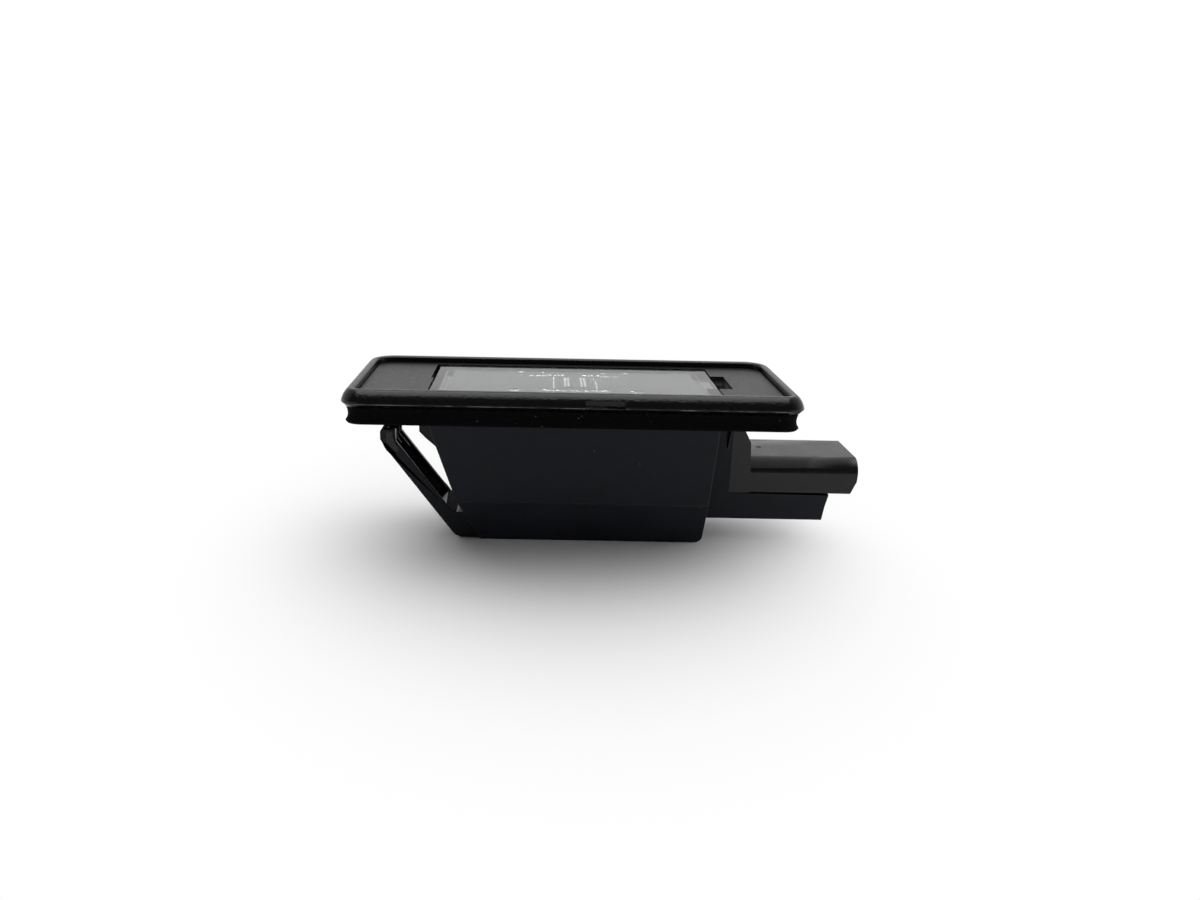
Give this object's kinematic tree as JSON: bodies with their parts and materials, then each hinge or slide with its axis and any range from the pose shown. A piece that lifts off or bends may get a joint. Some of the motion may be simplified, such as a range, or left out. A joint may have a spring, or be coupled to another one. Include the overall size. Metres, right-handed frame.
{
  "type": "number plate lamp",
  "caption": "Number plate lamp for a car: rimmed bezel with clear lens and foam gasket, tapered trough housing, sprung latch arm at one end and plug socket at the other.",
  "frame": {"origin": "middle of the gasket's underside, the face that seals on the body panel", "axes": "+X along the lamp towards the plug socket, +Y across it, +Z out of the lens"},
  "size_m": [0.0811, 0.0286, 0.0254],
  "materials": {
    "housing": "satin moulded black, fine grain on the bezel",
    "gasket": "matte black foam",
    "lens": "clear polished moulding",
    "bulb_holder": "satin moulded black",
    "terminal": "tin-plated brass",
    "bulb_glass": "clear glass",
    "bulb_lead": "drawn wire",
    "bulb_bead": "fused glass",
    "filament": "coiled wire"
  },
  "bodies": {
    "root": {"housing": "housing", "gasket": "gasket", "lens": "lens", "bulb_holder": "bulb_holder", "terminal_live": "terminal", "terminal_earth": "terminal", "bulb_glass": "bulb_glass", "bulb_lead_live": "bulb_lead", "bulb_lead_earth": "bulb_lead", "bulb_bead": "bulb_bead", "bulb_filament": "filament"}
  },
  "joints": []
}
